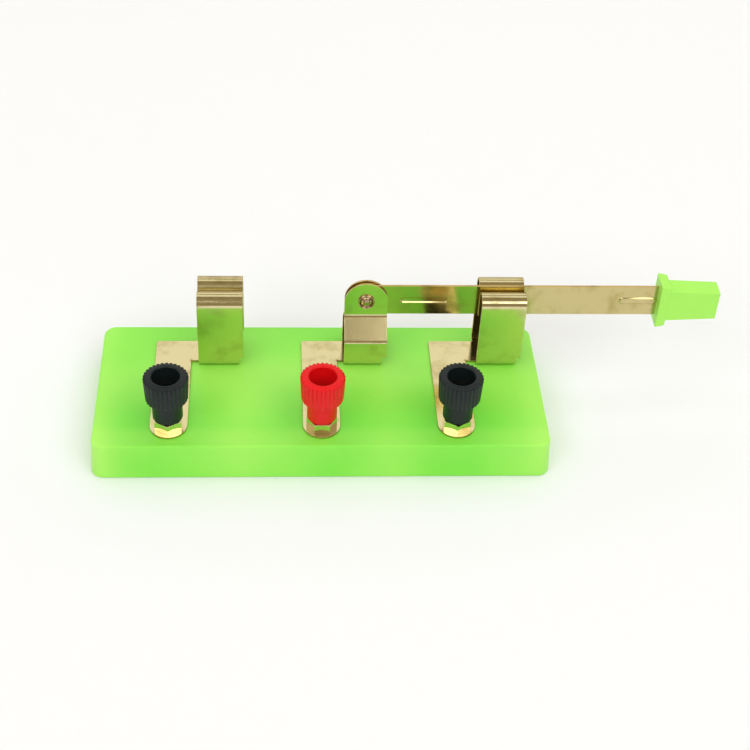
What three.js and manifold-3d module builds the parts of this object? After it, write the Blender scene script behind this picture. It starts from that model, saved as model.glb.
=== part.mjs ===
// Single-pole double-throw knife switch for a teaching bench.
// Millimetres, +Z up. X runs along the base, the binding posts are on the -Y side,
// and the origin is the middle of the base's underside.

import * as THREE from 'three';
import * as BufferGeometryUtils from 'three/addons/utils/BufferGeometryUtils.js';
import ManifoldModule from 'manifold-3d';

const wasm = await ManifoldModule();
wasm.setup();

// Driving dimensions: moulded base
const BASE_LENGTH = 110;
const BASE_DEPTH = 45;
const BASE_HEIGHT = 9.8;
const BASE_WALL = 2.2;
const BASE_CORNER = 3;
const BASE_DRAFT = 0.5;
const BASE_TOP_ROUND = 0.7;
const BASE_RIB = 1.8;

// Driving dimensions: stamped brass contacts
const SHEET = 0.5;
const STRIP_WIDTH = 9;
const STRIP_TO_LEFT_EDGE = 13.6;
const JAW_TO_RIGHT_EDGE = 4.4;
const CENTRE_STRIP_X = -0.2;
const POST_TO_FRONT_EDGE = 7;
const BLADE_TO_BACK_EDGE = 10.1;
const ARM_SPAN = 11.5;
const ARM_BEND = 1.4;
const ARM_NOTCH_WIDTH = 1.1;
const ARM_NOTCH_HEIGHT = 2.6;
const STRIP_BEYOND_BLADE = 3.6;
const LEFT_BRIDGE = 1.9;
const CENTRE_BRIDGE = 1.55;
const RIGHT_BRIDGE = 2.4;
const BRIDGE_FRONT_SETBACK = 1.7;
const BRIDGE_FILLET = 0.5;
const JAW_WIDTH = 11.2;
const JAW_HEIGHT = 21.1;
const JAW_FLAP = 8.5;
const CLEVIS_WIDTH = 10.7;
const CLEVIS_SHOULDER = 7.7;
const CLEVIS_NECK = 12.3;

// Driving dimensions: blade, handle and pivot
const BLADE_THICKNESS = 0.6;
const BLADE_HEIGHT = 8.6;
const BLADE_CLEARANCE = 0.15;
const BLADE_TO_HANDLE = 33.7;
const TANG_LENGTH = 11.5;
const TANG_HEIGHT = 5.2;
const PIVOT_HEIGHT = 17;
const PIVOT_DIAMETER = 2.6;
const PIVOT_HEAD_DIAMETER = 4.2;
const PIVOT_HEAD_HEIGHT = 0.7;
const PIVOT_RING_WIDTH = 0.42;
const PIVOT_RING_HEIGHT = 0.6;
const PIVOT_GROOVE_DIAMETER = 2.6;
const PIVOT_GROOVE_HEIGHT = 0.42;
const PIVOT_DOME_FLAT = 1.26;
const BEAD_WIDTH = 2;
const BEAD_DEPTH = 0.25;
const BEAD_FROM_PIVOT = 8.3;
const BEAD_TO_JAW = 7.6;
const HANDLE_BEAD_LENGTH = 9.5;
const FLANGE_HEIGHT = 12.6;
const FLANGE_DEPTH = 6.2;
const FLANGE_THICKNESS = 2.4;
const FLANGE_CORNER = 0.9;
const GRIP_LENGTH = 13.4;
const GRIP_HEIGHT = 9;
const GRIP_DEPTH = 5.2;
const GRIP_TAPER = 0.5;
const GRIP_CORNER = 0.7;
const HANDLE_ROUND = 0.6;

// Driving dimensions: binding posts
const STUD_DIAMETER = 3.5;
const STUD_REACH = 8.6;
const STUD_HEAD_DIAMETER = 6.6;
const STUD_HEAD_HEIGHT = 2;
const STUD_SLOT = 1;
const STUD_CHAMFER = 0.35;
const WASHER_DIAMETER = 8;
const WASHER_THICKNESS = 0.6;
const NUT_FLATS = 6.4;
const NUT_HEIGHT = 2.6;
const INSERT_WALL = 0.65;
const INSERT_PROUD = 0.4;
const CAP_LIFT_GAP = 0.35;
const CAP_SKIRT_DIAMETER = 7.2;
const CAP_SKIRT_HEIGHT = 5.7;
const CAP_KNURL_HEIGHT = 6.9;
const CAP_TOP_DIAMETER = 10.7;
const CAP_BOTTOM_DIAMETER = 10.1;
const CAP_KNURL_DEPTH = 0.3;
const CAP_KNURL_TEETH = 30;
const CAP_SOCKET_DIAMETER = 6.6;
const CAP_SOCKET_DEPTH = 6.8;
const CAP_RIM_CHAMFER = 0.4;

// Driving dimensions: rivets that hold the contacts down
const RIVET_DIAMETER = 2.4;
const RIVET_HEAD_DIAMETER = 4.6;
const RIVET_HEAD_HEIGHT = 0.9;

// Clearances
const SEAT = 0.03;
const HOLE_CLEARANCE = 0.15;
const CUT_MARGIN = 1;

// How finely curves are drawn, and how near two points count as one
const ROUND_STEPS = 24;
const CURVE_STEPS = 8;
const CORNER_STEPS = 4;
const BEND_STEPS = 8;
const BASE_EDGE_STEPS = 3;
const HANDLE_EDGE_STEPS = 2;
const SAME_POINT = 1e-6;

// Places that follow from the sizes above
const DECK = BASE_HEIGHT + SEAT;
const PLATE_UNDERSIDE = BASE_HEIGHT - BASE_WALL;
const POST_Y = -BASE_DEPTH / 2 + POST_TO_FRONT_EDGE;
const BLADE_Y = BASE_DEPTH / 2 - BLADE_TO_BACK_EDGE;
const PIVOT_Z = DECK + PIVOT_HEIGHT;
const FLAP_FACE = BLADE_THICKNESS / 2 + BLADE_CLEARANCE;
const LEFT_OFFSET = STRIP_WIDTH / 2 + LEFT_BRIDGE + JAW_WIDTH / 2;
const CENTRE_OFFSET = STRIP_WIDTH / 2 + CENTRE_BRIDGE + CLEVIS_WIDTH / 2;
const RIGHT_OFFSET = STRIP_WIDTH / 2 + RIGHT_BRIDGE + JAW_WIDTH / 2;
const LEFT_STRIP_X = -BASE_LENGTH / 2 + STRIP_TO_LEFT_EDGE + STRIP_WIDTH / 2;
const RIGHT_JAW_X = BASE_LENGTH / 2 - JAW_TO_RIGHT_EDGE - JAW_WIDTH / 2;
const RIGHT_STRIP_X = RIGHT_JAW_X - RIGHT_OFFSET;
const PIVOT_X = CENTRE_STRIP_X + CENTRE_OFFSET;
const HANDLE_X = RIGHT_JAW_X + JAW_WIDTH / 2 + BLADE_TO_HANDLE;
const STRIP_TOP = DECK + SHEET;
const NUT_TOP = STRIP_TOP + SEAT + NUT_HEIGHT;
const CAP_BOTTOM = NUT_TOP + CAP_LIFT_GAP;
const CAP_TOP = CAP_BOTTOM + CAP_SKIRT_HEIGHT + CAP_KNURL_HEIGHT;
const SOCKET_FLOOR = CAP_TOP - CAP_SOCKET_DEPTH;

const POSTS = [
  { side: 'left', x: LEFT_STRIP_X, colour: 0x2b3438, nutTurn: 0 },
  { side: 'centre', x: CENTRE_STRIP_X, colour: 0xd9202c, nutTurn: Math.PI / 6 },
  { side: 'right', x: RIGHT_STRIP_X, colour: 0x2b3438, nutTurn: 0 },
];
const CONTACTS = [
  { side: 'left', strip: LEFT_STRIP_X, offset: LEFT_OFFSET, width: JAW_WIDTH, section: jawSection },
  { side: 'centre', strip: CENTRE_STRIP_X, offset: CENTRE_OFFSET, width: CLEVIS_WIDTH,
    section: clevisSection },
  { side: 'right', strip: RIGHT_STRIP_X, offset: RIGHT_OFFSET, width: JAW_WIDTH, section: jawSection },
];

const lime = { color: 0x9df25a, roughness: 0.45, metalness: 0 };
const brass = { color: 0xd8b45a, roughness: 0.22, metalness: 1 };
const steel = { color: 0xb8bbbe, roughness: 0.35, metalness: 1 };

const knifeSwitch = new THREE.Group();

// ---- shared shape helpers ----

function solidOf(geometry) {
  const bare = geometry.clone();
  bare.deleteAttribute('normal');
  bare.deleteAttribute('uv');
  const merged = BufferGeometryUtils.mergeVertices(bare);
  const vertProperties = new Float32Array(merged.attributes.position.array);
  const triVerts = new Uint32Array(merged.index.array);
  return new wasm.Manifold(new wasm.Mesh({ numProp: 3, vertProperties, triVerts }));
}

function geometryOf(solid) {
  const mesh = solid.getMesh();
  const geometry = new THREE.BufferGeometry();
  geometry.setAttribute('position', new THREE.BufferAttribute(mesh.vertProperties, 3));
  geometry.setIndex(new THREE.BufferAttribute(mesh.triVerts, 1));
  geometry.computeVertexNormals();
  return geometry;
}

function addPiece(name, geometry, look) {
  const mesh = new THREE.Mesh(geometry, new THREE.MeshStandardMaterial(look));
  mesh.name = name;
  knifeSwitch.add(mesh);
}

function cutAll(geometry, cutters) {
  let solid = solidOf(geometry);
  for (const cutter of cutters) {
    solid = solid.subtract(solidOf(cutter));
  }
  return solid;
}

function upright(diameter, bottom, top, x, y) {
  const rod = new THREE.CylinderGeometry(diameter / 2, diameter / 2, top - bottom, ROUND_STEPS);
  rod.rotateX(Math.PI / 2);
  return rod.translate(x, y, (bottom + top) / 2);
}

function block(x0, x1, y0, y1, z0, z1) {
  const box = new THREE.BoxGeometry(x1 - x0, y1 - y0, z1 - z0);
  return box.translate((x0 + x1) / 2, (y0 + y1) / 2, (z0 + z1) / 2);
}

function turned(profile) {
  const points = profile.map(([r, z]) => new THREE.Vector2(r, z));
  return new THREE.LatheGeometry(points, ROUND_STEPS).rotateX(Math.PI / 2);
}

function roundedRectangle(width, height, radius) {
  const w = width / 2;
  const h = height / 2;
  const shape = new THREE.Shape();
  shape.moveTo(-w + radius, -h);
  shape.lineTo(w - radius, -h);
  shape.absarc(w - radius, -h + radius, radius, -Math.PI / 2, 0);
  shape.lineTo(w, h - radius);
  shape.absarc(w - radius, h - radius, radius, 0, Math.PI / 2);
  shape.lineTo(-w + radius, h);
  shape.absarc(-w + radius, h - radius, radius, Math.PI / 2, Math.PI);
  shape.lineTo(-w, -h + radius);
  shape.absarc(-w + radius, -h + radius, radius, Math.PI, Math.PI * 1.5);
  return shape;
}

const Z_TO_X = new THREE.Matrix4().set(0, 0, 1, 0, 1, 0, 0, 0, 0, 1, 0, 0, 0, 0, 0, 1);

// Sweeps a YZ outline along +X, starting at x = 0.
function alongX(shape, length) {
  return alongZ(shape, length).applyMatrix4(Z_TO_X);
}

// Sweeps an XZ outline along Y, from y = 0 back to y = -length.
function alongY(shape, length) {
  return alongZ(shape, length).rotateX(Math.PI / 2);
}

function alongZ(shape, height) {
  const settings = { depth: height, bevelEnabled: false, curveSegments: CURVE_STEPS };
  return new THREE.ExtrudeGeometry(shape, settings);
}

// Outline of bent sheet: the centreline offset by half the sheet on both sides.
function sheetOutline(path) {
  const middle = path.getPoints(BEND_STEPS).filter(
    (point, i, all) => i === 0 || point.distanceTo(all[i - 1]) > SAME_POINT);
  const offsets = middle.map((point, i) => {
    const before = middle[Math.max(i - 1, 0)];
    const after = middle[Math.min(i + 1, middle.length - 1)];
    const incoming = point.clone().sub(before).normalize();
    const outgoing = after.clone().sub(point).normalize();
    const along = incoming.clone().add(outgoing).normalize();
    const reach = along.dot(incoming.lengthSq() > 0 ? incoming : outgoing);
    return new THREE.Vector2(-along.y, along.x).multiplyScalar(SHEET / 2 / reach);
  });
  const leftSide = middle.map((point, i) => point.clone().add(offsets[i]));
  const rightSide = middle.map((point, i) => point.clone().sub(offsets[i]));
  return new THREE.Shape([...leftSide, ...rightSide.reverse()]);
}

// ---- base: one hollow moulding, open below, with ribs flush with its rim ----

function taperedBlock(length, depth, height, corner, spread, round) {
  const shape = roundedRectangle(length - 2 * round, depth - 2 * round, corner - round);
  const geometry = new THREE.ExtrudeGeometry(shape, {
    depth: height - round, bevelThickness: round, bevelSize: round, bevelSegments: BASE_EDGE_STEPS,
    curveSegments: CORNER_STEPS,
  });
  const position = geometry.attributes.position;
  for (let i = 0; i < position.count; i += 1) {
    const drop = Math.min(Math.max((height - round - position.getZ(i)) / (height - round), 0), 1);
    position.setX(i, position.getX(i) * (1 + (2 * spread * drop) / length));
    position.setY(i, position.getY(i) * (1 + (2 * spread * drop) / depth));
  }
  return geometry;
}

function makeBase() {
  const outer = solidOf(
    taperedBlock(BASE_LENGTH, BASE_DEPTH, BASE_HEIGHT, BASE_CORNER, BASE_DRAFT, BASE_TOP_ROUND));
  const below = block(-BASE_LENGTH, BASE_LENGTH, -BASE_DEPTH, BASE_DEPTH, -BASE_HEIGHT, 0);
  const cavity = alongZ(
    roundedRectangle(BASE_LENGTH - 2 * BASE_WALL, BASE_DEPTH - 2 * BASE_WALL, BASE_CORNER / 2),
    PLATE_UNDERSIDE + CUT_MARGIN).translate(0, 0, -CUT_MARGIN);
  let ribs = solidOf(block(-BASE_LENGTH / 2 + BASE_WALL / 2, BASE_LENGTH / 2 - BASE_WALL / 2,
    -BASE_RIB / 2, BASE_RIB / 2, 0, PLATE_UNDERSIDE + BASE_WALL / 2));
  for (const x of crossRibPlaces()) {
    ribs = ribs.add(solidOf(block(x - BASE_RIB / 2, x + BASE_RIB / 2,
      -BASE_DEPTH / 2 + BASE_WALL / 2, BASE_DEPTH / 2 - BASE_WALL / 2,
      0, PLATE_UNDERSIDE + BASE_WALL / 2)));
  }
  let base = outer.subtract(solidOf(below)).subtract(solidOf(cavity)).add(ribs);
  for (const post of POSTS) {
    base = base.subtract(solidOf(upright(STUD_DIAMETER + 2 * HOLE_CLEARANCE,
      PLATE_UNDERSIDE - CUT_MARGIN, BASE_HEIGHT + CUT_MARGIN, post.x, POST_Y)));
  }
  for (const contact of CONTACTS) {
    base = base.subtract(solidOf(upright(RIVET_DIAMETER + 2 * HOLE_CLEARANCE,
      PLATE_UNDERSIDE - CUT_MARGIN, BASE_HEIGHT + CUT_MARGIN, contact.strip + contact.offset, BLADE_Y)));
  }
  addPiece('base', geometryOf(base), lime);
}

// Cross ribs stand midway between one contact and the strip of the next.
function crossRibPlaces() {
  return [0, 1].map((i) => {
    const contactEdge = CONTACTS[i].strip + CONTACTS[i].offset + CONTACTS[i].width / 2;
    const nextEdge = CONTACTS[i + 1].strip - STRIP_WIDTH / 2;
    return (contactEdge + nextEdge) / 2;
  });
}

// ---- contacts: foot strip, bridge and two arms stamped from one sheet ----

function armsFromWeb(path) {
  const half = (ARM_SPAN - SHEET) / 2;
  const bend = ARM_BEND - SHEET / 2;
  const web = SHEET / 2;
  path.lineTo(-half, web + bend);
  path.absarc(-half + bend, web + bend, bend, Math.PI, Math.PI * 1.5);
  path.lineTo(half - bend, web);
  path.absarc(half - bend, web + bend, bend, -Math.PI / 2, 0);
}

// Both arms roll over at the top and hang down as flaps that grip the blade.
function jawSection() {
  const flap = FLAP_FACE + SHEET / 2;
  const half = (ARM_SPAN - SHEET) / 2;
  const roll = (half - flap) / 2;
  const rollZ = JAW_HEIGHT - SHEET / 2 - roll;
  const path = new THREE.Path();
  path.moveTo(-flap, JAW_HEIGHT - JAW_FLAP);
  path.lineTo(-flap, rollZ);
  path.absarc(-flap - roll, rollZ, roll, 0, Math.PI);
  armsFromWeb(path);
  path.lineTo(half, rollZ);
  path.absarc(half - roll, rollZ, roll, 0, Math.PI);
  path.lineTo(flap, JAW_HEIGHT - JAW_FLAP);
  return { outline: sheetOutline(path), top: JAW_HEIGHT, roundTop: false };
}

// The arms neck in to two close plates that hold the pivot.
function clevisSection() {
  const plate = FLAP_FACE + SHEET / 2;
  const half = (ARM_SPAN - SHEET) / 2;
  const top = PIVOT_HEIGHT + CLEVIS_WIDTH / 2;
  const path = new THREE.Path();
  path.moveTo(-plate, top);
  path.lineTo(-plate, CLEVIS_NECK);
  path.lineTo(-half, CLEVIS_SHOULDER);
  armsFromWeb(path);
  path.lineTo(half, CLEVIS_SHOULDER);
  path.lineTo(plate, CLEVIS_NECK);
  path.lineTo(plate, top);
  return { outline: sheetOutline(path), top, roundTop: true };
}

// Front view of the arms: a notch beside the web, and a round top on the clevis.
function armFace(width, section) {
  const w = width / 2;
  const shape = new THREE.Shape();
  shape.moveTo(-w, -CUT_MARGIN);
  shape.lineTo(w - ARM_NOTCH_WIDTH, -CUT_MARGIN);
  shape.lineTo(w - ARM_NOTCH_WIDTH, ARM_NOTCH_HEIGHT);
  shape.lineTo(w, ARM_NOTCH_HEIGHT);
  if (section.roundTop) {
    shape.absarc(0, section.top - w, w, 0, Math.PI);
  } else {
    shape.lineTo(w, section.top + CUT_MARGIN);
    shape.lineTo(-w, section.top + CUT_MARGIN);
  }
  return alongY(shape, ARM_SPAN + 2 * CUT_MARGIN).translate(0, ARM_SPAN / 2 + CUT_MARGIN, 0);
}

function footStrip(offset, width) {
  const s = STRIP_WIDTH / 2;
  const back = BLADE_Y + STRIP_BEYOND_BLADE;
  const bridgeFront = BLADE_Y - ARM_SPAN / 2 + BRIDGE_FRONT_SETBACK;
  const webEdge = offset - width / 2 + ARM_NOTCH_WIDTH;
  const shape = new THREE.Shape();
  shape.moveTo(-s, back);
  shape.lineTo(-s, POST_Y);
  shape.absarc(0, POST_Y, s, Math.PI, Math.PI * 2);
  shape.lineTo(s, bridgeFront - BRIDGE_FILLET);
  shape.absarc(s + BRIDGE_FILLET, bridgeFront - BRIDGE_FILLET, BRIDGE_FILLET, Math.PI, Math.PI / 2, true);
  shape.lineTo(webEdge, bridgeFront);
  shape.lineTo(webEdge, back);
  return alongZ(shape, SHEET);
}

function makeContact(contact) {
  const section = contact.section();
  const arms = alongX(section.outline, contact.width).translate(-contact.width / 2, 0, 0);
  const formed = solidOf(arms).intersect(solidOf(armFace(contact.width, section)));
  const placed = geometryOf(formed).translate(contact.offset, BLADE_Y, 0);
  let solid = solidOf(placed).add(solidOf(footStrip(contact.offset, contact.width)));
  const studHole = upright(STUD_DIAMETER + 2 * HOLE_CLEARANCE, -CUT_MARGIN, SHEET + CUT_MARGIN, 0, POST_Y);
  const rivetHole = upright(
    RIVET_DIAMETER + 2 * HOLE_CLEARANCE, -CUT_MARGIN, SHEET + CUT_MARGIN, contact.offset, BLADE_Y);
  solid = solid.subtract(solidOf(studHole)).subtract(solidOf(rivetHole));
  if (section.roundTop) {
    solid = solid.subtract(solidOf(pivotBore(ARM_SPAN).translate(contact.offset, BLADE_Y, PIVOT_HEIGHT)));
  }
  addPiece(`contact_${contact.side}`, geometryOf(solid).translate(contact.strip, 0, DECK), brass);
}

function pivotBore(length) {
  const radius = PIVOT_DIAMETER / 2 + HOLE_CLEARANCE;
  return new THREE.CylinderGeometry(radius, radius, length, ROUND_STEPS);
}

// ---- blade: flat bar with two pressed beads, its tang moulded into the handle ----

function bladeShape() {
  const r = BLADE_HEIGHT / 2;
  const shoulder = HANDLE_X - PIVOT_X - SEAT;
  const shape = new THREE.Shape();
  shape.moveTo(0, -r);
  shape.lineTo(shoulder, -r);
  shape.lineTo(shoulder, -TANG_HEIGHT / 2);
  shape.lineTo(shoulder + TANG_LENGTH, -TANG_HEIGHT / 2);
  shape.lineTo(shoulder + TANG_LENGTH, TANG_HEIGHT / 2);
  shape.lineTo(shoulder, TANG_HEIGHT / 2);
  shape.lineTo(shoulder, r);
  shape.lineTo(0, r);
  shape.absarc(0, 0, r, Math.PI / 2, Math.PI * 1.5);
  return shape;
}

// A pressed bead: a round-ended bar added on one face and cut from the other.
function pressBead(blade, start, length, proudSide) {
  const bar = alongY(roundedRectangle(length, BEAD_WIDTH, BEAD_WIDTH / 2 - SEAT), BEAD_DEPTH);
  bar.translate(start + length / 2, BEAD_DEPTH / 2, 0);
  const outside = BLADE_THICKNESS / 2 + BEAD_DEPTH / 2;
  const inside = BLADE_THICKNESS / 2 - BEAD_DEPTH / 2;
  const proud = solidOf(bar.clone().translate(0, proudSide * outside, 0));
  const hollow = solidOf(bar.clone().translate(0, -proudSide * inside, 0));
  return blade.add(proud).subtract(hollow);
}

function makeBlade() {
  const bar = alongY(bladeShape(), BLADE_THICKNESS).translate(0, BLADE_THICKNESS / 2, 0);
  const handleBead = HANDLE_X - PIVOT_X - SEAT - HANDLE_BEAD_LENGTH;
  const beadEnd = RIGHT_JAW_X - JAW_WIDTH / 2 - BEAD_TO_JAW - PIVOT_X;
  let blade = pressBead(solidOf(bar), BEAD_FROM_PIVOT, beadEnd - BEAD_FROM_PIVOT, 1);
  blade = pressBead(blade, handleBead, HANDLE_BEAD_LENGTH, -1);
  blade = blade.subtract(solidOf(pivotBore(BLADE_THICKNESS + 2 * CUT_MARGIN)));
  addPiece('blade', geometryOf(blade).translate(PIVOT_X, BLADE_Y, PIVOT_Z), brass);
}

// ---- handle: flange and tapered grip moulded over the blade's tang ----

function makeHandle() {
  const round = HANDLE_ROUND;
  const flange = new THREE.ExtrudeGeometry(
    roundedRectangle(FLANGE_DEPTH - 2 * round, FLANGE_HEIGHT - 2 * round, FLANGE_CORNER), {
      depth: FLANGE_THICKNESS - 2 * round, bevelThickness: round, bevelSize: round,
      bevelSegments: HANDLE_EDGE_STEPS, curveSegments: CORNER_STEPS,
    });
  const grip = new THREE.ExtrudeGeometry(
    roundedRectangle(GRIP_DEPTH - 2 * round, GRIP_HEIGHT - 2 * round, GRIP_CORNER), {
      depth: GRIP_LENGTH, bevelThickness: round, bevelSize: round,
      bevelSegments: HANDLE_EDGE_STEPS, curveSegments: CORNER_STEPS,
    });
  const position = grip.attributes.position;
  for (let i = 0; i < position.count; i += 1) {
    const along = position.getZ(i) / GRIP_LENGTH;
    position.setY(i, position.getY(i) * (1 - (2 * GRIP_TAPER * along) / GRIP_HEIGHT));
  }
  flange.applyMatrix4(Z_TO_X).translate(round, 0, 0);
  grip.applyMatrix4(Z_TO_X).translate(FLANGE_THICKNESS / 2, 0, 0);
  const pocket = block(-CUT_MARGIN, TANG_LENGTH + SEAT,
    -BLADE_THICKNESS / 2 - SEAT, BLADE_THICKNESS / 2 + SEAT,
    -TANG_HEIGHT / 2 - SEAT, TANG_HEIGHT / 2 + SEAT);
  const handle = solidOf(flange).add(solidOf(grip)).subtract(solidOf(pocket));
  addPiece('handle', geometryOf(handle).translate(HANDLE_X, BLADE_Y, PIVOT_Z), lime);
}

// ---- pivot rivet: shank through both clevis plates, a ringed dome on each side ----

function makePivotRivet() {
  const shank = PIVOT_DIAMETER / 2;
  const head = PIVOT_HEAD_DIAMETER / 2;
  const reach = FLAP_FACE + SHEET + SEAT;
  const groove = reach + PIVOT_GROOVE_HEIGHT;
  const top = reach + PIVOT_HEAD_HEIGHT;
  const half = [[shank, reach], [head, reach], [head, groove],
    [head - PIVOT_RING_WIDTH, reach + PIVOT_RING_HEIGHT], [PIVOT_GROOVE_DIAMETER / 2, groove],
    [PIVOT_DOME_FLAT / 2, top], [0, top]];
  const lower = half.map(([r, z]) => [r, -z]).reverse();
  const rivet = turned([...lower, ...half]).rotateX(Math.PI / 2);
  addPiece('pivot_rivet', rivet.translate(PIVOT_X, BLADE_Y, PIVOT_Z), brass);
}

// ---- binding posts: screw from below, washer, hexagon nut, and a knurled cap ----

function makeStud(post) {
  const headTop = PLATE_UNDERSIDE - 2 * SEAT - WASHER_THICKNESS;
  const headBottom = headTop - STUD_HEAD_HEIGHT;
  const head = STUD_HEAD_DIAMETER / 2;
  const shank = STUD_DIAMETER / 2;
  const top = DECK + STUD_REACH;
  const body = turned([[0, headBottom], [head - STUD_CHAMFER, headBottom], [head, headBottom + STUD_CHAMFER],
    [head, headTop], [shank, headTop], [shank, top - STUD_CHAMFER], [shank - STUD_CHAMFER, top], [0, top]]);
  const slot = block(-head, head, -STUD_SLOT / 2, STUD_SLOT / 2,
    headBottom - CUT_MARGIN, headBottom + STUD_HEAD_HEIGHT / 2);
  const stud = cutAll(body, [slot]);
  addPiece(`stud_${post.side}`, geometryOf(stud).translate(post.x, POST_Y, 0), brass);
}

function makeWasher(post) {
  const top = PLATE_UNDERSIDE - SEAT;
  const bottom = top - WASHER_THICKNESS;
  const bore = STUD_DIAMETER / 2 + HOLE_CLEARANCE;
  const outer = WASHER_DIAMETER / 2;
  const ring = turned([[bore, bottom], [outer, bottom], [outer, top], [bore, top], [bore, bottom]]);
  addPiece(`washer_${post.side}`, ring.translate(post.x, POST_Y, 0), steel);
}

function makeNut(post) {
  const bottom = STRIP_TOP + SEAT;
  const corner = NUT_FLATS / Math.sqrt(3);
  const hexagon = new THREE.CylinderGeometry(corner, corner, NUT_HEIGHT, 6).rotateX(Math.PI / 2);
  hexagon.translate(0, 0, bottom + NUT_HEIGHT / 2);
  const chamfer = corner - NUT_FLATS / 2;
  const round = turned([[0, bottom - CUT_MARGIN], [corner + chamfer, bottom - CUT_MARGIN],
    [corner + chamfer, NUT_TOP - chamfer], [NUT_FLATS / 2, NUT_TOP + chamfer / 2],
    [0, NUT_TOP + chamfer / 2]]);
  const bore = upright(STUD_DIAMETER + 2 * HOLE_CLEARANCE, bottom - CUT_MARGIN, NUT_TOP + CUT_MARGIN, 0, 0);
  const nut = solidOf(hexagon).intersect(solidOf(round)).subtract(solidOf(bore));
  const geometry = geometryOf(nut).rotateZ(post.nutTurn).translate(post.x, POST_Y, 0);
  addPiece(`hex_nut_${post.side}`, geometry, brass);
}

// Brass sleeve moulded into the cap; it carries the cap's thread.
function makeInsert(post) {
  const bore = STUD_DIAMETER / 2 + HOLE_CLEARANCE;
  const outer = bore + INSERT_WALL;
  const bottom = CAP_BOTTOM + SEAT;
  const top = SOCKET_FLOOR + INSERT_PROUD;
  const sleeve = turned([[bore, bottom], [outer, bottom], [outer, top], [bore, top], [bore, bottom]]);
  addPiece(`insert_${post.side}`, sleeve.translate(post.x, POST_Y, 0), brass);
}

// Each tooth has two corners on its crest and two in the groove beside it.
function knurlShape() {
  const crest = CAP_TOP_DIAMETER / 2;
  const radii = [crest, crest, crest - CAP_KNURL_DEPTH, crest - CAP_KNURL_DEPTH];
  const count = CAP_KNURL_TEETH * radii.length;
  const points = [];
  for (let i = 0; i < count; i += 1) {
    const angle = (i / count) * Math.PI * 2;
    const radius = radii[i % radii.length];
    points.push(new THREE.Vector2(radius * Math.cos(angle), radius * Math.sin(angle)));
  }
  return new THREE.Shape(points);
}

function makeCap(post) {
  const knurlBottom = CAP_TOP - CAP_KNURL_HEIGHT;
  const knurl = alongZ(knurlShape(), CAP_KNURL_HEIGHT);
  const position = knurl.attributes.position;
  for (let i = 0; i < position.count; i += 1) {
    const drop = 1 - position.getZ(i) / CAP_KNURL_HEIGHT;
    const scale = 1 - drop * (1 - CAP_BOTTOM_DIAMETER / CAP_TOP_DIAMETER);
    position.setXY(i, position.getX(i) * scale, position.getY(i) * scale);
  }
  knurl.translate(0, 0, knurlBottom);
  const skirt = upright(CAP_SKIRT_DIAMETER, CAP_BOTTOM, knurlBottom + CUT_MARGIN, 0, 0);
  const socket = CAP_SOCKET_DIAMETER / 2;
  const hollow = turned([[0, SOCKET_FLOOR], [socket, SOCKET_FLOOR], [socket, CAP_TOP - CAP_RIM_CHAMFER],
    [socket + CAP_RIM_CHAMFER, CAP_TOP], [socket + CAP_RIM_CHAMFER, CAP_TOP + CUT_MARGIN],
    [0, CAP_TOP + CUT_MARGIN]]);
  const insertHole = STUD_DIAMETER + 2 * (HOLE_CLEARANCE + INSERT_WALL + SEAT);
  const bore = upright(insertHole, CAP_BOTTOM - CUT_MARGIN, SOCKET_FLOOR + CUT_MARGIN, 0, 0);
  const cap = solidOf(knurl).add(solidOf(skirt)).subtract(solidOf(hollow)).subtract(solidOf(bore));
  const look = { color: post.colour, roughness: 0.42, metalness: 0 };
  addPiece(`cap_${post.side}`, geometryOf(cap).translate(post.x, POST_Y, 0), look);
}

// ---- rivets that hold each contact's web down on the base ----

function makeContactRivet(contact) {
  const shank = RIVET_DIAMETER / 2;
  const head = RIVET_HEAD_DIAMETER / 2;
  const low = PLATE_UNDERSIDE - SEAT;
  const high = STRIP_TOP + SEAT;
  const bevel = RIVET_HEAD_HEIGHT / 2;
  const rivet = turned([[0, low - RIVET_HEAD_HEIGHT], [head - bevel, low - RIVET_HEAD_HEIGHT],
    [head, low - bevel], [head, low], [shank, low], [shank, high], [head, high],
    [head - bevel, high + bevel], [0, high + RIVET_HEAD_HEIGHT]]);
  const x = contact.strip + contact.offset;
  addPiece(`contact_rivet_${contact.side}`, rivet.translate(x, BLADE_Y, 0), brass);
}

makeBase();
for (const contact of CONTACTS) {
  makeContact(contact);
  makeContactRivet(contact);
}
makeBlade();
makeHandle();
makePivotRivet();
for (const post of POSTS) {
  makeStud(post);
  makeWasher(post);
  makeNut(post);
  makeInsert(post);
  makeCap(post);
}

export default knifeSwitch;
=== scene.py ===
import math

import bmesh
import bpy
from mathutils import Matrix, Vector


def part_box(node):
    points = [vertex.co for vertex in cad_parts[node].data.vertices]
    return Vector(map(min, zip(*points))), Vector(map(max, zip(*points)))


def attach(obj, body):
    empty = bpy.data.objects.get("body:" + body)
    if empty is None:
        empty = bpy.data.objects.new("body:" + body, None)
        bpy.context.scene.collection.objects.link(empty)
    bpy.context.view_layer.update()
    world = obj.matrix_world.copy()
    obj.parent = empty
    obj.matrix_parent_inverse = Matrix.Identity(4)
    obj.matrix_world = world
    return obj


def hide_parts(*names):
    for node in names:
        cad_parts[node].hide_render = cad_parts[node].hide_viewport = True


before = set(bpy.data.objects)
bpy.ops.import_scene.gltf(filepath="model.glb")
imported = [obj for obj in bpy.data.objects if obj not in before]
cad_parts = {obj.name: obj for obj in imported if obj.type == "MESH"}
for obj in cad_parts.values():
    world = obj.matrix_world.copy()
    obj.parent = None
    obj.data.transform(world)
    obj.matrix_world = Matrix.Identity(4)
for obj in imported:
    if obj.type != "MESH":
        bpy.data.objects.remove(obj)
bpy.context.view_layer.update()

# ---- base -------------------------------------------------------------------------------
# One injection moulding in lime-green ABS, hollow below, with a long rib and two cross ribs
# flush with its rim. Its walls lean out a little so that it leaves the mould.

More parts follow.
